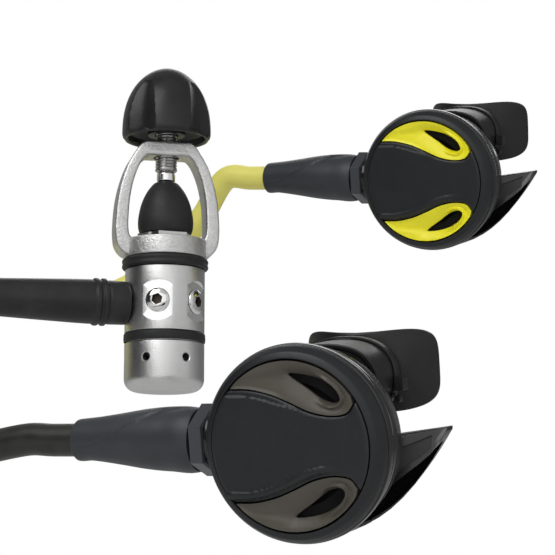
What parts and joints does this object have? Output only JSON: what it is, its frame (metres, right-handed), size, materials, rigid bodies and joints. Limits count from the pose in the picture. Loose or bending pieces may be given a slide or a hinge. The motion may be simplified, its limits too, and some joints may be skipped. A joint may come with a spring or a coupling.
{
  "type": "scuba regulator set",
  "caption": "Yoke-clamp piston first stage with two hoses, each ending in a round second stage with a purge panel and mouthpiece.",
  "frame": {"origin": "centre of the flat end of the first stage's piston cap", "axes": "+Z along the first stage, from the piston cap up to the yoke knob; -Y towards the front of the set; +X towards the side where the octopus hangs"},
  "size_m": [0.4589, 0.4646, 0.2868],
  "materials": {
    "satin": "bead-blasted satin",
    "chrome": "polished",
    "steel": "plain",
    "bronze": "sintered",
    "rubber": "matt black",
    "soft_black": "satin black",
    "gloss_black": "gloss black",
    "slate": "dark slate",
    "taupe": "satin taupe",
    "yellow": "satin yellow",
    "hose_yellow": "yellow",
    "silicone": "translucent silicone"
  },
  "bodies": {
    "first_stage": {"first_stage_body": "satin", "piston_cap": "satin", "cap_joint_band": "rubber", "yoke_bumper_ring": "rubber", "yoke_retainer": "chrome", "inlet_filter": "bronze", "piston_spring": "steel", "yoke": "satin", "front_port_plug": "chrome", "side_port_plug": "chrome", "rear_port_plug": "chrome", "primary_port_fitting": "chrome", "octopus_port_fitting": "chrome", "primary_hose_boot": "rubber", "octopus_hose_boot": "rubber", "primary_hose": "rubber", "octopus_hose": "hose_yellow", "primary_hose_sleeve": "slate", "octopus_hose_sleeve": "slate", "primary_swivel_stem": "chrome", "octopus_swivel_stem": "chrome"},
    "dust_cap_body": {"dust_cap": "rubber"},
    "screw_slide": {"screw_tip_pad": "chrome"},
    "yoke_knob_and_screw": {"yoke_knob": "soft_black", "yoke_screw": "steel"},
    "piston_set": {"piston": "steel", "piston_head_oring": "rubber", "high_pressure_seat": "silicone"},
    "primary_second_stage": {"primary_case": "gloss_black", "primary_cover_ring": "soft_black", "primary_upper_insert": "taupe", "primary_lower_insert": "taupe", "primary_exhaust_tee": "gloss_black", "primary_mouthpiece": "rubber", "primary_mouthpiece_clamp": "gloss_black", "primary_valve_barrel": "chrome", "primary_orifice": "chrome", "primary_poppet_spring": "steel", "primary_inlet_nut": "slate"},
    "primary_purge": {"primary_purge_cover": "soft_black"},
    "primary_diaphragm_disc": {"primary_diaphragm": "silicone"},
    "primary_lever": {"primary_demand_lever": "steel"},
    "primary_poppet_valve": {"primary_poppet": "steel"},
    "primary_exhaust_flap": {"primary_exhaust_valve": "silicone"},
    "octopus_second_stage": {"octopus_case": "gloss_black", "octopus_cover_ring": "soft_black", "octopus_upper_insert": "yellow", "octopus_lower_insert": "yellow", "octopus_exhaust_tee": "gloss_black", "octopus_mouthpiece": "rubber", "octopus_mouthpiece_clamp": "gloss_black", "octopus_valve_barrel": "chrome", "octopus_orifice": "chrome", "octopus_poppet_spring": "steel", "octopus_inlet_nut": "slate"},
    "octopus_purge": {"octopus_purge_cover": "soft_black"},
    "octopus_diaphragm_disc": {"octopus_diaphragm": "silicone"},
    "octopus_lever": {"octopus_demand_lever": "steel"},
    "octopus_poppet_valve": {"octopus_poppet": "steel"},
    "octopus_exhaust_flap": {"octopus_exhaust_valve": "silicone"}
  },
  "joints": [
    {"name": "screw_travel", "type": "slide", "parent": "first_stage", "child": "screw_slide", "axis": [0, 0, 1], "range_m": [0, 0.0106]},
    {"name": "yoke_knob_turn", "type": "hinge", "parent": "screw_slide", "child": "yoke_knob_and_screw", "pos_m": [0, 0, 0.12], "axis": [0, 0, 1], "range_deg": [0, 2520]},
    {"name": "dust_cap_lift", "type": "slide", "parent": "first_stage", "child": "dust_cap_body", "axis": [0, 0, 1], "range_m": [0, 0.0106]},
    {"name": "piston_stroke", "type": "slide", "parent": "first_stage", "child": "piston_set", "axis": [0, 0, 1], "range_m": [0, 0.001]},
    {"name": "primary_swivel", "type": "hinge", "parent": "first_stage", "child": "primary_second_stage", "pos_m": [0.0682, -0.2367, -0.0427], "axis": [0.8975, -0.4397, -0.0342], "continuous": true},
    {"name": "primary_purge_press", "type": "slide", "parent": "primary_second_stage", "child": "primary_purge", "axis": [0.4372, 0.877, 0.1994], "range_m": [0, 0.0026]},
    {"name": "primary_diaphragm_travel", "type": "slide", "parent": "primary_second_stage", "child": "primary_diaphragm_disc", "axis": [0.4372, 0.877, 0.1994], "range_m": [0, 0.0026]},
    {"name": "primary_lever_tilt", "type": "hinge", "parent": "primary_second_stage", "child": "primary_lever", "pos_m": [0.07987, -0.24242, -0.04315], "axis": [0.0577, 0.1939, -0.9793], "range_deg": [0, 9.7]},
    {"name": "primary_poppet_lift", "type": "slide", "parent": "primary_second_stage", "child": "primary_poppet_valve", "axis": [0.8975, -0.4397, -0.0342], "range_m": [0, 0.0012]},
    {"name": "primary_exhaust_flap_lift", "type": "slide", "parent": "primary_second_stage", "child": "primary_exhaust_flap", "axis": [0.3801, 0.8104, -0.4458], "range_m": [0, 0.0008]},
    {"name": "octopus_swivel", "type": "hinge", "parent": "first_stage", "child": "octopus_second_stage", "pos_m": [0.1383, 0.0202, 0.1125], "axis": [0.8846, -0.4548, -0.1034], "continuous": true},
    {"name": "octopus_purge_press", "type": "slide", "parent": "octopus_second_stage", "child": "octopus_purge", "axis": [0.4644, 0.8377, 0.2874], "range_m": [0, 0.0026]},
    {"name": "octopus_diaphragm_travel", "type": "slide", "parent": "octopus_second_stage", "child": "octopus_diaphragm_disc", "axis": [0.4644, 0.8377, 0.2874], "range_m": [0, 0.0026]},
    {"name": "octopus_lever_tilt", "type": "hinge", "parent": "octopus_second_stage", "child": "octopus_lever", "pos_m": [0.1498, 0.01429, 0.11116], "axis": [0.044, 0.3022, -0.9522], "range_deg": [0, 9.7]},
    {"name": "octopus_poppet_lift", "type": "slide", "parent": "octopus_second_stage", "child": "octopus_poppet_valve", "axis": [0.8846, -0.4548, -0.1034], "range_m": [0, 0.0012]},
    {"name": "octopus_exhaust_flap_lift", "type": "slide", "parent": "octopus_second_stage", "child": "octopus_exhaust_flap", "axis": [0.393, 0.8462, -0.3598], "range_m": [0, 0.0008]}
  ],
  "couplings": [
    {"joint": "screw_travel", "follows": "yoke_knob_turn", "m_per_rad": 0.00023873},
    {"joint": "dust_cap_lift", "follows": "yoke_knob_turn", "m_per_rad": 0.00023873},
    {"joint": "primary_diaphragm_travel", "follows": "primary_purge_press", "ratio": 1},
    {"joint": "primary_lever_tilt", "follows": "primary_purge_press", "rad_per_m": 64.5},
    {"joint": "primary_poppet_lift", "follows": "primary_purge_press", "ratio": 0.46},
    {"joint": "octopus_diaphragm_travel", "follows": "octopus_purge_press", "ratio": 1},
    {"joint": "octopus_lever_tilt", "follows": "octopus_purge_press", "rad_per_m": 64.5},
    {"joint": "octopus_poppet_lift", "follows": "octopus_purge_press", "ratio": 0.46}
  ]
}
